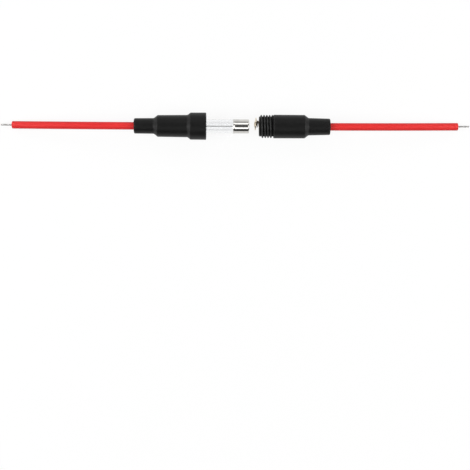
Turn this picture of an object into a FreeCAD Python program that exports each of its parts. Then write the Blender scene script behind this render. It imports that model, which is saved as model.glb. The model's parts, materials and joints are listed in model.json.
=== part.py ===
"""Inline fuse holder for one 6 x 30 mm glass fuse, pulled apart end to end.

The axis runs along X. The cap half lies to the left with the fuse standing out of its mouth,
and the threaded half to the right with its sprung contact standing out of the thread.
Z = 0 is the table, which the cap's collar touches, and X = 0 is midway between the boot ends.
Sizes are millimetres.
"""
import FreeCAD, Part
import math
import os
import Sketcher
from FreeCAD import Placement, Rotation, Vector

DIMENSIONS = {
    # Leads
    "lead_radius": 1.7,
    "conductor_radius": 0.45,
    "bare_tip": 5.6,
    "cap_lead_reach": 55.1,
    "rear_lead_reach": 57.7,
    "cap_lead_drift": 0.6,
    "rear_lead_drift": 0.75,
    "lead_float": 0.05,
    "lead_seat": 5.3,
    "lead_clearance": 0.08,
    # Cap half, from its boot to its mouth
    "cap_boot_length": 8.9,
    "cap_boot_radius": 3.45,
    "cap_step": 1.6,
    "cap_barrel_length": 13.4,
    "cap_barrel_radius": 4.94,
    "collar_step": 1.35,
    "collar_length": 6.95,
    "collar_radius": 6.07,
    "cap_cavity": 21.95,
    "collar_bore_depth": 6.6,
    # Threaded half, from its thread to its boot
    "thread_length": 6.55,
    "rear_barrel_length": 13.85,
    "rear_barrel_radius": 5.25,
    "rear_cone": 1.8,
    "rear_boot_length": 9.6,
    "rear_boot_root": 3.85,
    "rear_boot_end": 3.65,
    "rear_cavity": 21.4,
    "mouth_radius": 3.95,
    "mouth_taper": 8,
    # Male thread
    "pitch": 1.25,
    "thread_root": 4.42,
    "ridge_height": 0.75,
    "ridge_base": 0.45,
    "ridge_crest": 0.08,
    "ridge_sink": 0.1,
    "thread_clearance": 0.2,
    "ridge_turns": 4.5,
    "ridge_start": 0.6,
    "ridge_crossing": 0.98,
    # Fuse
    "fuse_radius": 3.175,
    "fuse_length": 30,
    "ferrule_length": 7.15,
    "ferrule_wall": 0.2,
    "ferrule_chamfer": 0.3,
    "glass_wall": 0.65,
    "element_radius": 0.15,
    "solder_radius": 1.5,
    "solder_length": 0.6,
    "fuse_clearance": 0.325,
    "fuse_grip": 10.8,
    # Terminals and the sprung contact
    "flange_thickness": 0.4,
    "flange_clearance": 0.3,
    "crimp_radius": 1.2,
    "crimp_clearance": 0.3,
    "pilot_length": 1,
    "contact_radius": 2.8,
    "contact_rim": 0.5,
    "dome_height": 0.45,
    "dome_radius": 1.8,
    "stem_radius": 0.85,
    "stem_length": 0.4,
    "contact_reach": 2.2,
    "contact_offset": 1.15,
    "contact_tilt": 4,
    "spring_radius": 1.4,
    "spring_wire": 0.225,
    "spring_turns": 7,
    "spring_length": 21.7,
    "spring_seat_gap": 0.05,
    # Edges, and the gap between the fuse and the contact
    "boot_edge": 0.4,
    "fine_edge": 0.2,
    "contact_gap": 2.2,
}

doc = FreeCAD.newDocument("inline_fuse_holder")
sheet = doc.addObject("Spreadsheet::Sheet", "Sizes")
for row, (alias, value) in enumerate(DIMENSIONS.items(), start=1):
    sheet.set(f"A{row}", str(value))
    sheet.setAlias(f"A{row}", alias)
doc.recompute()


def size(terms):
    """What a sum of named sizes comes to, such as "cap_boot_length + cap_step"."""
    total = 0.0
    sign = 1
    for word in terms.split():
        if word in ("+", "-"):
            sign = 1 if word == "+" else -1
        else:
            total += sign * float(sheet.get(word))
    return total


def formula(terms):
    """The same sum as an expression that reads the sheet."""
    words = [word if word in ("+", "-") else "Sizes." + word for word in terms.split()]
    return " ".join(words)


def new_body(label, x, turn=0.0, y=0.0, tilt=0.0):
    """A body whose own X axis is the holder's axis, x along it and turned about it."""
    body = doc.addObject("PartDesign::Body", label)
    body.Label = label
    spin = Rotation(Vector(1, 0, 0), turn)
    lean = Rotation(Vector(0, 0, 1), tilt)
    body.Placement = Placement(Vector(x, y, AXIS_HEIGHT), lean.multiply(spin))
    return body


def flat_sketch(body, name):
    sketch = body.newObject("Sketcher::SketchObject", name)
    plane = [p for p in body.Origin.OriginFeatures if p.Role == "XY_Plane"][0]
    sketch.AttachmentSupport = (plane, [""])
    sketch.MapMode = "FlatFace"
    return sketch


def hold(sketch, geometry, end, x_terms, y_terms):
    """Tie one end of a line to the sheet: x along the axis and y out from it."""
    for kind, terms, axis in (("DistanceX", x_terms, -2), ("DistanceY", y_terms, -1)):
        if terms:
            value = size(terms)
            added = sketch.addConstraint(Sketcher.Constraint(kind, -1, 1, geometry, end, value))
            sketch.setExpression(f"Constraints[{added}]", formula(terms))
        else:
            sketch.addConstraint(Sketcher.Constraint("PointOnObject", geometry, end, axis))


def outline(sketch, corners, dome=None):
    """A closed outline through corners, each a pair of sums of sizes ("" stands for 0).

    The side that follows corner number dome is an arc about a centre on the axis.
    """
    points = [Vector(size(x) if x else 0, size(y) if y else 0, 0) for x, y in corners]
    sides = []
    for number, (start, end) in enumerate(zip(points, points[1:] + points[:1])):
        if number == dome:
            centre_x = (end.x ** 2 + end.y ** 2) / (2 * end.x)
            circle = Part.Circle(Vector(centre_x, 0, 0), Vector(0, 0, 1), centre_x)
            from_angle = math.atan2(end.y, end.x - centre_x)
            side = sketch.addGeometry(Part.ArcOfCircle(circle, from_angle, math.pi), False)
            sketch.addConstraint(Sketcher.Constraint("PointOnObject", side, 3, -1))
            sides.append((side, 2, 1))
        else:
            side = sketch.addGeometry(Part.LineSegment(start, end), False)
            sides.append((side, 1, 2))
    for (side, _, last), (following, first, _) in zip(sides, sides[1:] + sides[:1]):
        sketch.addConstraint(Sketcher.Constraint("Coincident", side, last, following, first))
    for (side, first, _), (x, y) in zip(sides, corners):
        hold(sketch, side, first, x, y)


def turned(body, name, corners, dome=None):
    """A solid of revolution about the holder's axis."""
    sketch = flat_sketch(body, name + "_profile")
    outline(sketch, corners, dome)
    solid = body.newObject("PartDesign::Revolution", name)
    solid.Profile = (sketch, [""])
    solid.ReferenceAxis = (sketch, ["H_Axis"])
    solid.Angle = 360
    doc.recompute()
    return solid


def chamfered(body, base, name, alias, places):
    """Chamfer the round edges at places, each an (x, radius) pair of sums of sizes."""
    names = []
    for x_terms, radius_terms in places:
        x = size(x_terms) if x_terms else 0
        radius = size(radius_terms)
        for number, edge in enumerate(base.Shape.Edges, start=1):
            if not isinstance(edge.Curve, Part.Circle):
                continue
            if abs(edge.Curve.Center.x - x) < 1e-4 and abs(edge.Curve.Radius - radius) < 1e-4:
                names.append(f"Edge{number}")
    chamfer = body.newObject("PartDesign::Chamfer", name)
    chamfer.Base = (base, names)
    chamfer.setExpression("Size", formula(alias))
    doc.recompute()
    return chamfer


def wound(body, name, section, turns, pitch=None, height=None):
    """A right-handed helix of a section about the holder's axis, toward +X."""
    winding = body.newObject("PartDesign::AdditiveHelix", name)
    winding.Profile = (section, [""])
    winding.ReferenceAxis = (section, ["H_Axis"])
    winding.Angle = 0
    winding.LeftHanded = False
    winding.Turns = size(turns)
    winding.setExpression("Turns", formula(turns))
    if pitch:
        winding.Mode = "pitch-turns-angle"
        winding.setExpression("Pitch", formula(pitch))
    else:
        winding.Mode = "height-turns-angle"
        winding.setExpression("Height", formula(height))
    doc.recompute()
    return winding


def lead_path(points):
    """Straight runs through points, joined by the largest tangent arcs that they allow."""
    edges = []
    start = points[0]
    for before, corner, after in zip(points, points[1:], points[2:]):
        back = before - corner
        ahead = after - corner
        half_turn = (math.pi - back.getAngle(ahead)) / 2
        cut = 0.45 * min(back.Length, ahead.Length)
        radius = cut / math.tan(half_turn)
        back.normalize()
        ahead.normalize()
        enter = corner + back * cut
        leave = corner + ahead * cut
        inward = (back + ahead).normalize()
        middle = corner + inward * (radius / math.cos(half_turn) - radius)
        edges.append(Part.LineSegment(start, enter).toShape())
        edges.append(Part.Arc(enter, middle, leave).toShape())
        start = leave
    edges.append(Part.LineSegment(start, points[-1]).toShape())
    return Part.Wire(edges)


def rod(path, start, radius):
    """A solid rod along a path that sets out from start along the X axis."""
    section = Part.Wire([Part.makeCircle(radius, start, Vector(1, 0, 0))])
    return path.makePipeShell([section], True, False)


def lead(side, points, tip_length):
    """One lead: its insulation along points, and the bare end of the conductor past it."""
    path = lead_path(points)
    sleeve = rod(path, points[0], size("lead_radius"))
    radii = [f"{e.Curve.Radius:.1f}" for e in path.Edges if isinstance(e.Curve, Part.Circle)]
    section = math.pi * size("lead_radius") ** 2
    print(f"{side} {path.Length:.1f} long, arc radii {' and '.join(radii)}, "
          f"volume {sleeve.Volume:.1f}, section times length {section * path.Length:.1f}")
    heading = (points[-1] - points[-2]).normalize()
    tip = Part.makeCylinder(size("conductor_radius"), tip_length, points[-1], heading)
    for label, shape in ((side + "_insulation", sleeve), (side + "_conductor", tip)):
        piece = doc.addObject("Part::Feature", label)
        piece.Shape = shape.Solids[0]
        piece.Label = label


CAP_MOUTH = "cap_boot_length + cap_step + cap_barrel_length + collar_step + collar_length"
CAP_FLOOR = CAP_MOUTH + " - cap_cavity"
COLLAR_FLOOR = CAP_MOUTH + " - collar_bore_depth"
COLLAR_START = CAP_MOUTH + " - collar_length"
CAP_BARREL_END = COLLAR_START + " - collar_step"
REAR_BARREL_END = "thread_length + rear_barrel_length"
REAR_END = REAR_BARREL_END + " + rear_cone + rear_boot_length"
COLLAR_BORE = "thread_root + ridge_height + thread_clearance"
FUSE_BORE = "fuse_radius + fuse_clearance"
FLANGE = FUSE_BORE + " - flange_clearance"
LEAD_BORE = "lead_radius + lead_clearance"
CRIMP_BORE = "crimp_radius + crimp_clearance"
PULLED_APART = "fuse_length - fuse_grip + contact_gap + contact_reach"

AXIS_HEIGHT = size("collar_radius")
overall = size(CAP_MOUTH) + size(PULLED_APART) + size(REAR_END)
cap_end = -overall / 2
rear_end = overall / 2
cap_mouth = cap_end + size(CAP_MOUTH)
rear_front = rear_end - size(REAR_END)


# Cap shell: boot, barrel and collar in one moulding, bored to clear the male thread
cap_shell = new_body("cap_shell", cap_end)
cap_blank = turned(cap_shell, "cap_blank", [
    ("", LEAD_BORE),
    ("", "cap_boot_radius"),
    ("cap_boot_length", "cap_boot_radius"),
    ("cap_boot_length + cap_step", "cap_barrel_radius"),
    (CAP_BARREL_END, "cap_barrel_radius"),
    (COLLAR_START, "collar_radius"),
    (CAP_MOUTH, "collar_radius"),
    (CAP_MOUTH, COLLAR_BORE),
    (COLLAR_FLOOR, COLLAR_BORE),
    (COLLAR_FLOOR, FUSE_BORE),
    (CAP_FLOOR, FUSE_BORE),
    (CAP_FLOOR, CRIMP_BORE),
    ("lead_seat", CRIMP_BORE),
    ("lead_seat", LEAD_BORE),
])
cap_boot_edge = chamfered(cap_shell, cap_blank, "cap_boot_edge", "boot_edge", [
    ("", "cap_boot_radius"),
])
chamfered(cap_shell, cap_boot_edge, "collar_edges", "fine_edge", [
    (COLLAR_START, "collar_radius"),
    (CAP_MOUTH, "collar_radius"),
])

# Threaded shell: male thread, barrel, cone and boot in one moulding, turned about its axis
# so that the ridge crosses the XY plane where the photographed one does
ridge_turn = 360 * size("ridge_start - ridge_crossing") / size("pitch")
threaded_shell = new_body("threaded_shell", rear_front, turn=ridge_turn)
rear_blank = turned(threaded_shell, "rear_blank", [
    ("", "mouth_radius"),
    ("", "thread_root"),
    ("thread_length", "thread_root"),
    ("thread_length", "rear_barrel_radius"),
    (REAR_BARREL_END, "rear_barrel_radius"),
    (REAR_BARREL_END + " + rear_cone", "rear_boot_root"),
    (REAR_END, "rear_boot_end"),
    (REAR_END, LEAD_BORE),
    (REAR_END + " - lead_seat", LEAD_BORE),
    (REAR_END + " - lead_seat", CRIMP_BORE),
    ("rear_cavity", CRIMP_BORE),
    ("rear_cavity", FUSE_BORE),
    ("mouth_taper", FUSE_BORE),
])
rear_boot_edge = chamfered(threaded_shell, rear_blank, "rear_boot_edge", "boot_edge", [
    (REAR_END, "rear_boot_end"),
])
chamfered(threaded_shell, rear_boot_edge, "shoulder_edge", "fine_edge", [
    ("thread_length", "rear_barrel_radius"),
])
ridge_section = flat_sketch(threaded_shell, "ridge_section")
outline(ridge_section, [
    ("ridge_start - ridge_base", "thread_root - ridge_sink"),
    ("ridge_start + ridge_base", "thread_root - ridge_sink"),
    ("ridge_start + ridge_crest", "thread_root + ridge_height"),
    ("ridge_start - ridge_crest", "thread_root + ridge_height"),
])
wound(threaded_shell, "ridge", ridge_section, "ridge_turns", pitch="pitch")

# Fuse: a glass tube in two cupped ferrules, with the element soldered into both
fuse_left = cap_mouth - size("fuse_grip")
fuse_right = fuse_left + size("fuse_length")
GLASS = "fuse_radius - ferrule_wall"
for end_name, x, facing in (("left", fuse_left, 0), ("right", fuse_right, 180)):
    ferrule = new_body(f"fuse_ferrule_{end_name}", x, tilt=facing)
    cup = turned(ferrule, "ferrule_cup", [
        ("", ""),
        ("", "fuse_radius"),
        ("ferrule_length", "fuse_radius"),
        ("ferrule_length", GLASS),
        ("ferrule_wall", GLASS),
        ("ferrule_wall", ""),
    ])
    chamfered(ferrule, cup, "ferrule_edge", "ferrule_chamfer", [("", "fuse_radius")])
    solder = new_body(f"fuse_solder_{end_name}", x, tilt=facing)
    turned(solder, "solder_disc", [
        ("ferrule_wall", "element_radius"),
        ("ferrule_wall", "solder_radius"),
        ("ferrule_wall + solder_length", "solder_radius"),
        ("ferrule_wall + solder_length", "element_radius"),
    ])
glass = new_body("fuse_glass", fuse_left)
turned(glass, "glass_tube", [
    ("ferrule_wall", GLASS + " - glass_wall"),
    ("ferrule_wall", GLASS),
    ("fuse_length - ferrule_wall", GLASS),
    ("fuse_length - ferrule_wall", GLASS + " - glass_wall"),
])
element = new_body("fuse_element", fuse_left)
turned(element, "element_wire", [
    ("ferrule_wall", ""),
    ("ferrule_wall", "element_radius"),
    ("fuse_length - ferrule_wall", "element_radius"),
    ("fuse_length - ferrule_wall", ""),
])

# Terminals: a flange that each shell's floor holds, and a shank that meets the lead's end
cap_terminal = new_body("cap_terminal", cap_end)
turned(cap_terminal, "cap_flange", [
    ("lead_seat", ""),
    ("lead_seat", "crimp_radius"),
    (CAP_FLOOR, "crimp_radius"),
    (CAP_FLOOR, FLANGE),
    (CAP_FLOOR + " + flange_thickness", FLANGE),
    (CAP_FLOOR + " + flange_thickness", ""),
])
spring_terminal = new_body("spring_terminal", rear_front)
turned(spring_terminal, "rear_flange", [
    ("rear_cavity - flange_thickness - pilot_length", ""),
    ("rear_cavity - flange_thickness - pilot_length", "stem_radius"),
    ("rear_cavity - flange_thickness", "stem_radius"),
    ("rear_cavity - flange_thickness", FLANGE),
    ("rear_cavity", FLANGE),
    ("rear_cavity", "crimp_radius"),
    (REAR_END + " - lead_seat", "crimp_radius"),
    (REAR_END + " - lead_seat", ""),
])

# Sprung contact: a domed disc whose stem sits in a coil spring, which leans in the mouth
contact_x = rear_front - size("contact_reach")
contact_disc = new_body("contact_disc", contact_x, y=size("contact_offset"),
                        tilt=-size("contact_tilt"))
DISC_BACK = "dome_height + contact_rim"
turned(contact_disc, "disc_and_stem", [
    ("", ""),
    ("dome_height", "dome_radius"),
    ("dome_height", "contact_radius"),
    (DISC_BACK, "contact_radius"),
    (DISC_BACK, "stem_radius"),
    (DISC_BACK + " + stem_length", "stem_radius"),
    (DISC_BACK + " + stem_length", ""),
], dome=0)

spring_start = contact_disc.Placement.multVec(Vector(size(DISC_BACK), 0, 0))
spring_end = Vector(rear_front + size("rear_cavity - flange_thickness"), 0, AXIS_HEIGHT)
spring_line = spring_end - spring_start
spring_lean = math.degrees(math.atan2(spring_line.y, spring_line.x))
spring_slack = spring_line.Length - size("spring_length")
print(f"spring seat {spring_line.Length:.2f} long, slack {spring_slack:.2f}")
contact_spring = new_body("contact_spring", spring_start.x, y=spring_start.y, tilt=spring_lean)
wire_section = flat_sketch(contact_spring, "wire_section")
outline(wire_section, [
    ("spring_seat_gap", "spring_radius"),
    ("spring_seat_gap + spring_wire", "spring_radius + spring_wire"),
    ("spring_seat_gap + spring_wire + spring_wire", "spring_radius"),
    ("spring_seat_gap + spring_wire", "spring_radius - spring_wire"),
])
wound(contact_spring, "spring_coil", wire_section, "spring_turns", height="spring_length")

# Leads: each leaves its boot along the axis, then slopes down until its end meets the table,
# a little to one side of the axis
lying = size("lead_radius") + size("lead_float")
lead("cap_lead", [
    Vector(cap_end + size("lead_seat"), 0, AXIS_HEIGHT),
    Vector(-68, 0, AXIS_HEIGHT),
    Vector(cap_end - size("cap_lead_reach"), size("cap_lead_drift"), lying),
], size("bare_tip"))
lead("rear_lead", [
    Vector(rear_end - size("lead_seat"), 0, AXIS_HEIGHT),
    Vector(69.5, 0, AXIS_HEIGHT),
    Vector(rear_end + size("rear_lead_reach"), size("rear_lead_drift"), lying),
], size("bare_tip"))

doc.recompute()
for item in doc.Objects:
    if "Invalid" in item.State or "Error" in item.State:
        raise RuntimeError(f"{item.Name} did not compute: {item.State}")

os.makedirs("parts", exist_ok=True)
for item in doc.Objects:
    if item.TypeId not in ("PartDesign::Body", "Part::Feature"):
        continue
    shape = item.Shape
    if shape.isNull() or not shape.isValid() or len(shape.Solids) != 1:
        raise RuntimeError(f"{item.Label} is not one valid solid")
    shape.exportStep(f"parts/{item.Label}.step")
    print(f"{item.Label}: {shape.Volume:.2f} mm3")
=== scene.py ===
import bmesh
import bpy
import json
import math
from mathutils import Matrix, Vector


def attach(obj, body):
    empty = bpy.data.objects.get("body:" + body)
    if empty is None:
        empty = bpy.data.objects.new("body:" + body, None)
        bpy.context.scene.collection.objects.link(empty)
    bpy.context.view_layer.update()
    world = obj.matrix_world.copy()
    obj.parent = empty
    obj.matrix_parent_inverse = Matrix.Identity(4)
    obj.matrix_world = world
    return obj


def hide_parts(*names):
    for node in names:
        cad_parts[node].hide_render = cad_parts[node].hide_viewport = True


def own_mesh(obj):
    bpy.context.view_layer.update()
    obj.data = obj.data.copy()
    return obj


# Looks of the inline fuse holder: its shells, thread, fuse caps, contact, spring and leads.
# Sizes are in millimetres, apart from those of the floor and the lamps, which are in metres.

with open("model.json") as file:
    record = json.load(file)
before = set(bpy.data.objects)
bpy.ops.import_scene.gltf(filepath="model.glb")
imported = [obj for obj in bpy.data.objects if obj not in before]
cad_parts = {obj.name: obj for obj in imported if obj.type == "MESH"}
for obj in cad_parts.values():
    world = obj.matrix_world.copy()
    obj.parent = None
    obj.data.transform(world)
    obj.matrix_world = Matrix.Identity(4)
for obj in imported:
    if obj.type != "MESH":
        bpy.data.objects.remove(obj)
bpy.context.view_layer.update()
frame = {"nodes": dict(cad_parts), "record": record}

MM = 0.001

# Places and sizes shared with the solids

AXIS_HEIGHT = 6.07
BOOT_END = 43.8
FUSE_BORE = 3.5
CRIMP_BORE = 1.5

LEAD_RADIUS = 1.7
LEAD_BORE = 1.78
LEAD_SEAT = 5.3
WIRE_RADIUS = 0.45
WIRE_LENGTH = 5.6

CAP_BOOT_LENGTH = 8.9
CAP_STEP = 1.6
CAP_BARREL_LENGTH = 13.4
COLLAR_STEP = 1.35
COLLAR_LENGTH = 6.95
COLLAR_BORE_DEPTH = 6.6
CAP_CAVITY = 21.95
CAP_TRAVEL = 30

REAR_FRONT = 12.0
REAR_BARREL_END = 20.4
REAR_BOOT_END = 31.8
REAR_CAVITY = 21.4
MOUTH_RADIUS = 3.95
MOUTH_TAPER = 8

PITCH = 1.25
THREAD_ROOT = 4.42
RIDGE_HEIGHT = 0.75
THREAD_CLEARANCE = 0.2
RIDGE_START = 0.6
RIDGE_TURNS = 4.5
RIDGE_CROSSING = 12.98

FUSE_ENDS = (-22.4, 7.6)
FUSE_RADIUS = 3.175
FERRULE_LENGTH = 7.15
FERRULE_WALL = 0.2

CONTACT_PLACE = (9.8, 1.15)
CONTACT_TILT = 4
CONTACT_RADIUS = 2.8
CONTACT_DEPTH = 0.95
DOME_RADIUS = 1.8
DOME_HEIGHT = 0.45
STEM_RADIUS = 0.85
STEM_LENGTH = 0.4

SPRING_FLOOR = 33.0
SPRING_RADIUS = 1.4
SPRING_WIRE = 0.2
SPRING_TURNS = 15

# Drafted radii of the mouldings, each at its left and its right end

CAP_BOOT_RADII = (3.42, 3.5)
CAP_BARREL_RADII = (4.84, 4.97)
COLLAR_RADII = (6.03, 6.07)
REAR_BARREL_RADII = (5.25, 5.22)
REAR_BOOT_RADII = (3.88, 3.63)

# The floor's grey in the light that it throws back, the share of its white that glows, and the
# strength of the sky in the light that falls on things

FLOOR_GREY = 0.3
FLOOR_GLOW = 0.9
SKY_FILL = 0.3


# Camera, which looks straight down at the middle of the photograph

SCALE = 0.447
IMAGE = 470
AXIS_PIXEL = (231.5, 126.35)
CAMERA_HEIGHT = 500
SENSOR = 36
ROLL = math.radians(0.3)

camera_data = bpy.data.cameras.new("camera")
camera_data.sensor_width = SENSOR
camera_data.lens = SENSOR * (CAMERA_HEIGHT - AXIS_HEIGHT) / (IMAGE * SCALE)
camera = bpy.data.objects.new("camera", camera_data)
middle_x = (IMAGE / 2 - AXIS_PIXEL[0]) * SCALE
middle_y = (AXIS_PIXEL[1] - IMAGE / 2) * SCALE
viewpoint = Matrix.Translation(Vector((middle_x, middle_y, CAMERA_HEIGHT)) * MM)
camera.matrix_world = viewpoint @ Matrix.Rotation(ROLL, 4, "Z")
bpy.context.collection.objects.link(camera)
bpy.context.scene.camera = camera
bpy.context.scene.view_settings.view_transform = "Standard"


# Shader helpers, whose owner is a material or the world

def add_node(owner, kind, **settings):
    node = owner.node_tree.nodes.new(kind)
    for key, value in settings.items():
        if key in node.inputs:
            node.inputs[key].default_value = value
        else:
            setattr(node, key, value)
    return node


def link(owner, source, output, target, socket):
    owner.node_tree.links.new(source.outputs[output], target.inputs[socket])


def spread(owner, source, output, low, high):
    """A value from 0 to 1 spread over low to high."""
    node = add_node(owner, "ShaderNodeMapRange")
    node.inputs["To Min"].default_value = low
    node.inputs["To Max"].default_value = high
    link(owner, source, output, node, "Value")
    return node


def seen_rays(owner):
    """1 for what the camera sees, also in metal or through glass, and 0 for light on things."""
    paths = add_node(owner, "ShaderNodeLightPath")
    direct = add_node(owner, "ShaderNodeMath", operation="MAXIMUM")
    seen = add_node(owner, "ShaderNodeMath", operation="MAXIMUM")
    link(owner, paths, "Is Camera Ray", direct, 0)
    link(owner, paths, "Is Glossy Ray", direct, 1)
    link(owner, direct, "Value", seen, 0)
    link(owner, paths, "Is Transmission Ray", seen, 1)
    return seen


def noise(material, scale, stretch=(1, 1, 1)):
    """Noise in the object's own space, stretched along its axes."""
    place = add_node(material, "ShaderNodeTexCoord")
    mapping = add_node(material, "ShaderNodeMapping", Scale=stretch)
    texture = add_node(material, "ShaderNodeTexNoise", Scale=scale, Detail=4.0)
    link(material, place, "Object", mapping, "Vector")
    link(material, mapping, "Vector", texture, "Vector")
    return texture


def new_material(name, colour, roughness, metallic=0.0):
    material = bpy.data.materials.new(name)
    material.use_nodes = True
    shader = material.node_tree.nodes["Principled BSDF"]
    shader.inputs["Base Color"].default_value = (*colour, 1)
    shader.inputs["Roughness"].default_value = roughness
    shader.inputs["Metallic"].default_value = metallic
    return material, shader


def vary_colour(material, shader, texture, dark, light):
    """A colour that goes from dark to light with the texture."""
    ramp = add_node(material, "ShaderNodeValToRGB")
    for stop, place, colour in zip(ramp.color_ramp.elements, (0.3, 0.7), (dark, light)):
        stop.position = place
        stop.color = (*colour, 1)
    link(material, texture, "Fac", ramp, "Fac")
    link(material, ramp, "Color", shader, "Base Color")
    return ramp


def vary_roughness(material, shader, texture, low, high):
    link(material, spread(material, texture, "Fac", low, high), "Result", shader, "Roughness")


def add_relief(material, shader, texture, strength, depth):
    bump = add_node(material, "ShaderNodeBump", Strength=strength, Distance=depth * MM)
    link(material, texture, "Fac", bump, "Height")
    link(material, bump, "Normal", shader, "Normal")


# Materials

def shell_plastic():
    """Black moulding with a fine eroded grain, dull in the thread's grooves and rubbed smoother
    on its crests, with painted shade in the grooves and a painted highlight on the crests.
    """
    thread_middle = 15.68
    thread_half = 3.22
    groove_top = THREAD_ROOT + 0.15
    crest_foot = THREAD_ROOT + 0.65
    material, shader = new_material("shell_plastic", (0.0045, 0.0045, 0.0045), 0.48)
    shader.inputs["Specular IOR Level"].default_value = 0.25
    grain = noise(material, 9000)
    add_relief(material, shader, grain, 0.12, 0.02)
    black = vary_colour(material, shader, noise(material, 260), (0.0035, 0.0035, 0.0035),
                        (0.0055, 0.0055, 0.0055))
    place = add_node(material, "ShaderNodeTexCoord")
    axes = add_node(material, "ShaderNodeSeparateXYZ")
    link(material, place, "Object", axes, "Vector")
    thread = add_node(material, "ShaderNodeMath", operation="COMPARE")
    thread.inputs[1].default_value = thread_middle * MM
    thread.inputs[2].default_value = thread_half * MM
    link(material, axes, "X", thread, 0)
    across = add_node(material, "ShaderNodeVectorMath", operation="MULTIPLY")
    across.inputs[1].default_value = (0, 1, 1)
    link(material, place, "Object", across, 0)
    height = add_node(material, "ShaderNodeVectorMath", operation="DISTANCE")
    height.inputs[1].default_value = (0, 0, AXIS_HEIGHT * MM)
    link(material, across, "Vector", height, 0)

    def on_thread(plain, groove, crest):
        """A value that is plain off the thread, and goes from groove to crest on it."""
        rise = spread(material, height, "Value", groove, crest)
        rise.inputs["From Min"].default_value = groove_top * MM
        rise.inputs["From Max"].default_value = crest_foot * MM
        value = spread(material, thread, "Value", plain, plain)
        link(material, rise, "Result", value, "To Max")
        return value

    # The base colour is cut to a fifth in the thread's grooves as painted shade, and raised
    # fourfold on its crests as a painted highlight. The roughness below differs for real: matte
    # in the grooves, smoother on the crests.
    shade = add_node(material, "ShaderNodeVectorMath", operation="SCALE")
    link(material, black, "Color", shade, 0)
    link(material, on_thread(1, 0.2, 4), "Result", shade, "Scale")
    link(material, shade, "Vector", shader, "Base Color")
    rough = add_node(material, "ShaderNodeMath", operation="ADD")
    link(material, on_thread(0.4, 0.75, 0.32), "Result", rough, 0)
    link(material, spread(material, grain, "Fac", 0, 0.14), "Result", rough, 1)
    link(material, rough, "Value", shader, "Roughness")
    return material


def lead_plastic():
    """Red insulation with faint lines along it from the die."""
    material, shader = new_material("lead_plastic", (0.85, 0.03, 0.03), 0.42)
    shader.inputs["Specular IOR Level"].default_value = 0.35
    drawn = noise(material, 900, stretch=(0.05, 1, 1))
    vary_colour(material, shader, drawn, (0.82, 0.026, 0.027), (0.89, 0.035, 0.034))
    vary_roughness(material, shader, drawn, 0.36, 0.5)
    add_relief(material, shader, drawn, 0.08, 0.02)
    return material


def metal(name, dark, light, roughness, scale, stretch=(1, 1, 1)):
    material, shader = new_material(name, light, roughness, metallic=1.0)
    texture = noise(material, scale, stretch=stretch)
    vary_colour(material, shader, texture, dark, light)
    vary_roughness(material, shader, texture, roughness * 0.7, roughness * 1.4)
    add_relief(material, shader, texture, 0.1, 0.01)
    return material


def clear_glass():
    material, shader = new_material("fuse_glass", (0.945, 0.95, 0.955), 0.01)
    shader.inputs["Transmission Weight"].default_value = 1.0
    shader.inputs["IOR"].default_value = 1.5
    vary_roughness(material, shader, noise(material, 120, stretch=(0.2, 1, 1)), 0.0, 0.03)
    return material


def floor_paper():
    """Paper that the camera, metal and glass see as white, with the object's soft shadow."""
    material, shader = new_material("floor", (FLOOR_GREY, FLOOR_GREY, FLOOR_GREY), 0.9)
    shader.inputs["Specular IOR Level"].default_value = 0.1
    shader.inputs["Emission Color"].default_value = (1, 1, 1, 1)
    seen = seen_rays(material)
    shade = spread(material, seen, "Value", FLOOR_GREY, 1 - FLOOR_GLOW)
    fibres = spread(material, noise(material, 60), "Fac", 0.97, 1.03)
    paper = add_node(material, "ShaderNodeMath", operation="MULTIPLY")
    link(material, shade, "Result", paper, 0)
    link(material, fibres, "Result", paper, 1)
    link(material, paper, "Value", shader, "Base Color")
    glow = spread(material, seen, "Value", 0, FLOOR_GLOW)
    link(material, glow, "Result", shader, "Emission Strength")
    return material


MATERIALS = {
    "shell_plastic": shell_plastic(),
    "lead_plastic": lead_plastic(),
    "conductor_metal": metal("conductor_metal", (0.34, 0.33, 0.32), (0.62, 0.61, 0.6), 0.32, 900),
    "ferrule_metal": metal("ferrule_metal", (0.56, 0.55, 0.53), (0.66, 0.65, 0.62), 0.07, 500,
                           stretch=(1, 0.2, 0.2)),
    "fuse_glass_clear": clear_glass(),
    "element_metal": metal("element_metal", (0.45, 0.45, 0.44), (0.6, 0.6, 0.59), 0.3, 800),
    "solder_metal": metal("solder_metal", (0.4, 0.4, 0.41), (0.6, 0.6, 0.61), 0.4, 700),
    "contact_brass": metal("contact_brass", (0.7, 0.6, 0.45), (0.84, 0.75, 0.6), 0.3, 600),
    "spring_metal": metal("spring_metal", (0.1, 0.07, 0.04), (0.32, 0.22, 0.13), 0.3, 900),
}


def finish_with(piece, slot):
    piece.data.materials.clear()
    piece.data.materials.append(MATERIALS[slot])


for part in frame["record"]["subparts"]:
    for place in frame["nodes"][part["node"]].material_slots:
        place.material = MATERIALS[part["material_slot"]]


# Mesh helpers

def around(angle):
    """The unit vector out from the holder's axis at angle, from +Y toward +Z."""
    return Vector((0, math.cos(angle), math.sin(angle)))


def on_axis(x, y=0.0, spin=0.0):
    """A place at the axis's height at x and y, turned by spin degrees about the vertical."""
    return Matrix.Translation((x, y, AXIS_HEIGHT)) @ Matrix.Rotation(math.radians(spin), 4, "Z")


def circle(radius, sides=10):
    turns = [2 * math.pi * n / sides for n in range(sides)]
    return [(radius * math.cos(t), radius * math.sin(t)) for t in turns]


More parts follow.
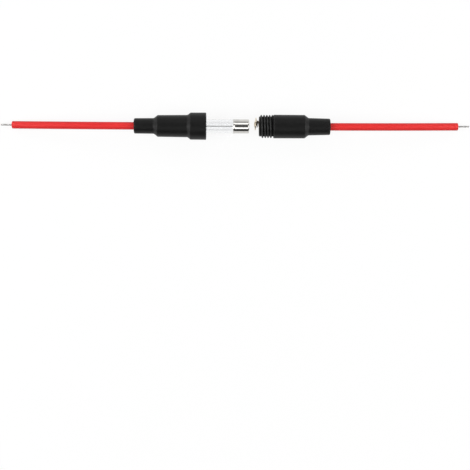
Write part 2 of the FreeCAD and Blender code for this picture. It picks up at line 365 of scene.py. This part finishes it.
def new_mesh(name, vertices, faces, slot, body):
    mesh = bpy.data.meshes.new(name)
    mesh.from_pydata([tuple(v * MM) for v in vertices], [], faces)
    shape = bmesh.new()
    shape.from_mesh(mesh)
    bmesh.ops.remove_doubles(shape, verts=shape.verts, dist=1e-7)
    loose = [edge for edge in shape.edges if not edge.link_faces]
    bmesh.ops.delete(shape, geom=loose, context="EDGES")
    bmesh.ops.recalc_face_normals(shape, faces=shape.faces)
    shape.to_mesh(mesh)
    shape.free()
    mesh.shade_smooth()
    piece = bpy.data.objects.new(name, mesh)
    bpy.context.collection.objects.link(piece)
    finish_with(piece, slot)
    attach(piece, body)
    return piece


def swept(name, centres, frames, sections, slot, body):
    """A closed solid through sections, each a list of (across, up) pairs, at the centres."""
    count = len(sections[0])
    vertices = []
    for centre, (across, up), section in zip(centres, frames, sections):
        vertices += [centre + across * a + up * b for a, b in section]
    faces = []
    for ring in range(len(centres) - 1):
        for side in range(count):
            here = ring * count + side
            beside = ring * count + (side + 1) % count
            faces.append((here, beside, beside + count, here + count))
    faces.append(tuple(range(count)))
    faces.append(tuple(range(len(vertices) - count, len(vertices))))
    return new_mesh(name, vertices, faces, slot, body)


def turned(name, profile, place, slot, body, sides=96):
    """A closed profile of (along, out) pairs, turned about the X axis of a place."""
    vertices = []
    for side in range(sides):
        out = around(2 * math.pi * side / sides)
        vertices += [place @ (Vector((along, 0, 0)) + out * radius) for along, radius in profile]
    count = len(profile)
    total = len(vertices)
    faces = []
    for side in range(sides):
        for corner in range(count):
            here = side * count + corner
            beside = side * count + (corner + 1) % count
            faces.append((here, beside, (beside + count) % total, (here + count) % total))
    return new_mesh(name, vertices, faces, slot, body)


def rounded(corners, steps=7, margin=0.03):
    """A profile through corners (along, out, radius), each rounded to its radius.

    A point a margin before and after each arc keeps the straight sides evenly shaded.
    """
    profile = []
    for number, (along, out, radius) in enumerate(corners):
        here = Vector((along, out))
        back = (Vector(corners[number - 1][:2]) - here).normalized()
        ahead = (Vector(corners[(number + 1) % len(corners)][:2]) - here).normalized()
        half = back.angle(ahead) / 2
        cut = radius / math.tan(half)
        centre = here + (back + ahead).normalized() * radius / math.sin(half)
        first = math.atan2(*(here + back * cut - centre).yx)
        last = math.atan2(*(here + ahead * cut - centre).yx)
        sweep = (last - first + math.pi) % (2 * math.pi) - math.pi
        profile.append(here + back * (cut + margin))
        for step in range(steps + 1 if radius else 1):
            angle = first + sweep * step / steps
            profile.append(centre + Vector((math.cos(angle), math.sin(angle))) * radius)
        profile.append(here + ahead * (cut + margin))
    return [(point.x, max(point.y, 0)) for point in profile]


# Leads

def strands(name, start, heading, body):
    """Seven tinned strands with a slow twist, laid side by side and cut a little unevenly."""
    strand = WIRE_RADIUS / 3.4
    lay_radius = 2 * strand * 0.97
    root = 0.4
    twist = 1.3
    unevenness = 0.02
    steps = 36
    side = Vector((0, 1, 0))
    up = heading.cross(side).normalized()
    pieces = []
    for number in range(7):
        ring = lay_radius if number else 0
        first = math.pi / 3 * number
        length = root + WIRE_LENGTH * (1 - unevenness * (number * 3 % 5))
        centres = []
        for step in range(steps + 1):
            share = step / steps
            angle = first + 2 * math.pi * twist * share
            centres.append(start + heading * (length * share - root)
                           + side * (ring * math.cos(angle)) + up * (ring * math.sin(angle)))
        frames = [(side, up)] * len(centres)
        sections = [circle(strand)] * len(centres)
        pieces.append(swept(f"{name}_{number}", centres, frames, sections, "conductor_metal",
                            body))
    return pieces


def lead(name, route, body):
    """One red lead on a smooth curve, with its bare wire end."""
    points = [Vector(p) for p in route]
    curve = bpy.data.curves.new(name, "CURVE")
    curve.dimensions = "3D"
    curve.bevel_depth = LEAD_RADIUS * MM
    curve.bevel_resolution = 12
    curve.resolution_u = 24
    curve.use_fill_caps = True
    spline = curve.splines.new("NURBS")
    spline.points.add(len(points) - 1)
    for control, point in zip(spline.points, points):
        control.co = (*point * MM, 1)
    spline.order_u = 3
    spline.use_endpoint_u = True
    piece = bpy.data.objects.new(name, curve)
    bpy.context.collection.objects.link(piece)
    finish_with(piece, "lead_plastic")
    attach(piece, body)
    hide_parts(name.replace("cord", "insulation"))
    heading = (points[-1] - points[-2]).normalized()
    wires = strands(name.replace("cord", "wire"), points[-1], heading, body)
    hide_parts(name.replace("cord", "conductor"))


lead("cap_lead_cord", [(-38.5, 0, 6.07), (-68, 0, 6.07), (-98.9, 0.6, 1.75)], "cap_lead")
lead("rear_lead_cord", [(38.5, 0, 6.07), (69.5, 0, 6.07), (101.5, 0.75, 1.75)], "threaded_half")


# Shells

def cap_moulding():
    """The cap half, with the soft flares and the slight draft of a moulding."""
    barrel_start = CAP_BOOT_LENGTH + CAP_STEP
    barrel_end = barrel_start + CAP_BARREL_LENGTH
    collar_start = barrel_end + COLLAR_STEP
    mouth = collar_start + COLLAR_LENGTH
    collar_floor = mouth - COLLAR_BORE_DEPTH
    cavity_floor = mouth - CAP_CAVITY
    collar_bore = THREAD_ROOT + RIDGE_HEIGHT + THREAD_CLEARANCE
    profile = rounded([
        (0, LEAD_BORE, 0.15), (0, CAP_BOOT_RADII[0], 0.5),
        (CAP_BOOT_LENGTH, CAP_BOOT_RADII[1], 1.5), (barrel_start, CAP_BARREL_RADII[0], 0.8),
        (barrel_end, CAP_BARREL_RADII[1], 1.2), (collar_start, COLLAR_RADII[0], 0.6),
        (mouth, COLLAR_RADII[1], 0.25), (mouth, collar_bore, 0.15),
        (collar_floor, collar_bore, 0.1), (collar_floor, FUSE_BORE, 0.1),
        (cavity_floor, FUSE_BORE, 0.1), (cavity_floor, CRIMP_BORE, 0),
        (LEAD_SEAT, CRIMP_BORE, 0), (LEAD_SEAT, LEAD_BORE, 0),
    ])
    piece = turned("cap_moulding", profile, on_axis(-BOOT_END), "shell_plastic", "cap")
    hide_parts("cap_shell")


def threaded_moulding():
    """The threaded half without its ridge."""
    shoulder = 6.45
    boot_start = 22.1
    seat = REAR_BOOT_END - LEAD_SEAT
    profile = rounded([
        (0, MOUTH_RADIUS, 0.08), (0, THREAD_ROOT, 0.3),
        (shoulder, THREAD_ROOT, 0.12), (shoulder, REAR_BARREL_RADII[0], 0.3),
        (REAR_BARREL_END, REAR_BARREL_RADII[1], 0.6), (boot_start, REAR_BOOT_RADII[0], 1.2),
        (REAR_BOOT_END, REAR_BOOT_RADII[1], 0.5), (REAR_BOOT_END, LEAD_BORE, 0.15),
        (seat, LEAD_BORE, 0), (seat, CRIMP_BORE, 0),
        (REAR_CAVITY, CRIMP_BORE, 0), (REAR_CAVITY, FUSE_BORE, 0.1),
        (MOUTH_TAPER, FUSE_BORE, 0.5),
    ])
    piece = turned("threaded_moulding", profile, on_axis(REAR_FRONT), "shell_plastic",
                   "threaded_half")
    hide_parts("threaded_shell")


# One side of a ridge's section: out along the axis, and up as a share of its height
MALE_SIDE = [(0.52, -0.1), (0.47, 0.0), (0.43, 0.15), (0.4, 0.35), (0.36, 0.55), (0.31, 0.72),
             (0.24, 0.85), (0.16, 0.94), (0.08, 0.985)]
FEMALE_SIDE = [(0.3, -0.1), (0.26, 0.0), (0.22, 0.3), (0.17, 0.6), (0.12, 0.84), (0.06, 0.96)]


def ridge(name, side, radius, height, crossing, turns_before, turns_after, body):
    """A right-handed thread ridge that is at crossing where it passes the +Y side.

    It starts and ends low and thin, and grows to its full section over the run-out's steps.
    """
    steps = 96
    run_out = 14
    tip = 0.08
    tip_width = 0.4
    outline = [(-a, b) for a, b in side] + [(0, 1)] + side[::-1]
    first = round(-turns_before * steps)
    last = round(turns_after * steps)
    centres = []
    frames = []
    sections = []
    for step in range(first, last + 1):
        angle = 2 * math.pi * step / steps
        fade = min(1, tip + (step - first) / run_out, tip + (last - step) / run_out)
        width = tip_width + (1 - tip_width) * fade
        centres.append(Vector((crossing + PITCH * step / steps, 0, AXIS_HEIGHT))
                       + around(angle) * radius)
        frames.append((Vector((1, 0, 0)), around(angle)))
        sections.append([(a * width, b * height * fade) for a, b in outline])
    swept(name, centres, frames, sections, "shell_plastic", body)


def male_thread():
    before = (RIDGE_CROSSING - REAR_FRONT - RIDGE_START) / PITCH
    ridge("male_thread", MALE_SIDE, THREAD_ROOT, RIDGE_HEIGHT, RIDGE_CROSSING, before,
          RIDGE_TURNS - before, "threaded_half")


def female_thread():
    """The cap's ridge, which stands half a pitch from the male one when the cap is home."""
    crossing = RIDGE_CROSSING - CAP_TRAVEL + 2.5 * PITCH
    ridge("female_thread", FEMALE_SIDE, THREAD_ROOT + RIDGE_HEIGHT + THREAD_CLEARANCE,
          -RIDGE_HEIGHT, crossing, 3, 0, "cap")


# Fuse caps, contact and spring

def fuse_cap(side, start, spin):
    """A drawn cap of the fuse: round at its closed end, with a low bead at its open lip."""
    bead = FUSE_RADIUS + 0.07
    lip = FUSE_RADIUS - 0.06
    inner = FUSE_RADIUS - FERRULE_WALL + 0.005
    profile = rounded([
        (0, 0, 0), (0, FUSE_RADIUS, 0.45),
        (FERRULE_LENGTH - 0.75, FUSE_RADIUS, 0.1), (FERRULE_LENGTH - 0.55, bead, 0.1),
        (FERRULE_LENGTH - 0.2, bead, 0.1), (FERRULE_LENGTH, lip, 0.04),
        (FERRULE_LENGTH, inner, 0), (FERRULE_WALL, inner, 0), (FERRULE_WALL, 0, 0),
    ], margin=0.01)
    piece = turned(f"fuse_cap_{side}", profile, on_axis(start, spin=spin), "ferrule_metal",
                   "fuse")
    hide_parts(f"fuse_ferrule_{side}")


def contact():
    """The pressed disc with its dome, and the short boss that the spring sits on."""
    steps = 14
    ball = (DOME_HEIGHT ** 2 + DOME_RADIUS ** 2) / (2 * DOME_HEIGHT)
    reach = math.asin(DOME_RADIUS / ball)
    angles = [reach * step / steps for step in range(steps)]
    dome = [(ball - ball * math.cos(angle), ball * math.sin(angle)) for angle in angles]
    stem_end = CONTACT_DEPTH + STEM_LENGTH
    rest = rounded([
        (DOME_HEIGHT, DOME_RADIUS, 0.12), (DOME_HEIGHT, CONTACT_RADIUS, 0.14),
        (CONTACT_DEPTH, CONTACT_RADIUS, 0.14), (CONTACT_DEPTH, STEM_RADIUS, 0.08),
        (stem_end, STEM_RADIUS, 0.1), (stem_end, 0, 0), (0, 0, 0),
    ], margin=0.01)
    # The last corner of rest only leads round to the dome
    profile = dome + rest[:-3]
    piece = turned("contact_plate", profile, on_axis(*CONTACT_PLACE, spin=-CONTACT_TILT),
                   "contact_brass", "contact")
    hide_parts("contact_disc")


def spring():
    """The contact's coil, close-wound at both ends, which replaces the plain solid one."""
    steps = 28
    dead_turns = 1.0
    closed_pitch = 2 * SPRING_WIRE * 1.05
    seat = 1.3 * SPRING_WIRE
    back = on_axis(*CONTACT_PLACE, spin=-CONTACT_TILT) @ Vector((CONTACT_DEPTH, 0, 0))
    floor_end = Vector((SPRING_FLOOR, 0, AXIS_HEIGHT))
    line = floor_end - back
    heading = line.normalized()
    side = Vector((0, 0, 1)).cross(heading).normalized()
    lift = heading.cross(side)
    open_length = line.length - 2 * seat - 2 * dead_turns * closed_pitch
    open_pitch = open_length / (SPRING_TURNS - 2 * dead_turns)
    centres = []
    along = seat
    for step in range(SPRING_TURNS * steps + 1):
        turn = step / steps
        angle = 2 * math.pi * turn
        centres.append(back + heading * along
                       + side * (SPRING_RADIUS * math.cos(angle))
                       + lift * (SPRING_RADIUS * math.sin(angle)))
        to_end = min(turn, SPRING_TURNS - turn)
        along += (closed_pitch if to_end < dead_turns else open_pitch) / steps
    frames = []
    for before, after in zip(centres[:1] + centres[:-1], centres[1:] + centres[-1:]):
        run = (after - before).normalized()
        out = run.cross(heading).normalized()
        frames.append((out, run.cross(out)))
    sections = [circle(SPRING_WIRE)] * len(centres)
    piece = swept("spring_coil", centres, frames, sections, "spring_metal", "threaded_half")
    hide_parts("contact_spring")
    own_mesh(piece)


cap_moulding()
threaded_moulding()
male_thread()
female_thread()
fuse_cap("left", FUSE_ENDS[0], 0)
fuse_cap("right", FUSE_ENDS[1], 180)
contact()
spring()


# Floor, sky and lamps

def paper_floor(reach):
    corners = [(-reach, -reach, 0), (reach, -reach, 0), (reach, reach, 0), (-reach, reach, 0)]
    mesh = bpy.data.meshes.new("floor")
    mesh.from_pydata(corners, [], [(0, 1, 2, 3)])
    floor = bpy.data.objects.new("floor", mesh)
    floor.data.materials.append(floor_paper())
    bpy.context.collection.objects.link(floor)


def studio_sky():
    """A sky that is pale at the horizon and dark overhead, with its dark part to the front."""
    overhead = (0, -0.5, 1)
    lowest = -0.5
    places = (0, 0.33, 0.47, 0.62, 1)
    greys = (0.8, 0.6, 0.25, 0.06, 0.06)
    world = bpy.context.scene.world or bpy.data.worlds.new("world")
    bpy.context.scene.world = world
    world.use_nodes = True
    background = world.node_tree.nodes["Background"]
    direction = add_node(world, "ShaderNodeTexCoord")
    height = add_node(world, "ShaderNodeVectorMath", operation="DOT_PRODUCT")
    height.inputs[1].default_value = overhead
    link(world, direction, "Generated", height, 0)
    share = spread(world, height, "Value", 0, 1)
    share.inputs["From Min"].default_value = lowest
    ramp = add_node(world, "ShaderNodeValToRGB")
    stops = ramp.color_ramp.elements
    for place in places[1:-1]:
        stops.new(place)
    for stop, grey in zip(stops, greys):
        stop.color = (grey, grey, grey, 1)
    link(world, share, "Result", ramp, "Fac")
    link(world, ramp, "Color", background, "Color")
    strength = spread(world, seen_rays(world), "Value", SKY_FILL, 1)
    link(world, strength, "Result", background, "Strength")


def softbox(name, place, size, power):
    """A rectangular lamp turned to the object, of so many watts."""
    light = bpy.data.lights.new(name, "AREA")
    light.shape = "RECTANGLE"
    light.size, light.size_y = size
    light.energy = power
    lamp = bpy.data.objects.new(name, light)
    lamp.location = place
    lamp.rotation_euler = (-Vector(place)).to_track_quat("-Z", "Y").to_euler()
    bpy.context.collection.objects.link(lamp)


paper_floor(3)
studio_sky()
softbox("front_panel", (0, -0.45, 0.66), (0.25, 0.34), 0.5625)
softbox("back_panel", (0, 0.49, 0.63), (0.2, 0.36), 0.4)
softbox("left_panel", (-0.66, -0.12, 0.44), (0.5, 0.7), 4.7)
softbox("right_panel", (0.66, -0.12, 0.44), (0.5, 0.7), 4.5)
softbox("left_edge_panel", (-0.5, 0.44, 0.3), (0.26, 0.3), 1.0)
softbox("right_edge_panel", (0.5, 0.44, 0.3), (0.26, 0.3), 0.75)
softbox("top_panel", (0, 0.02, 1), (0.4, 0.4), 0.06)
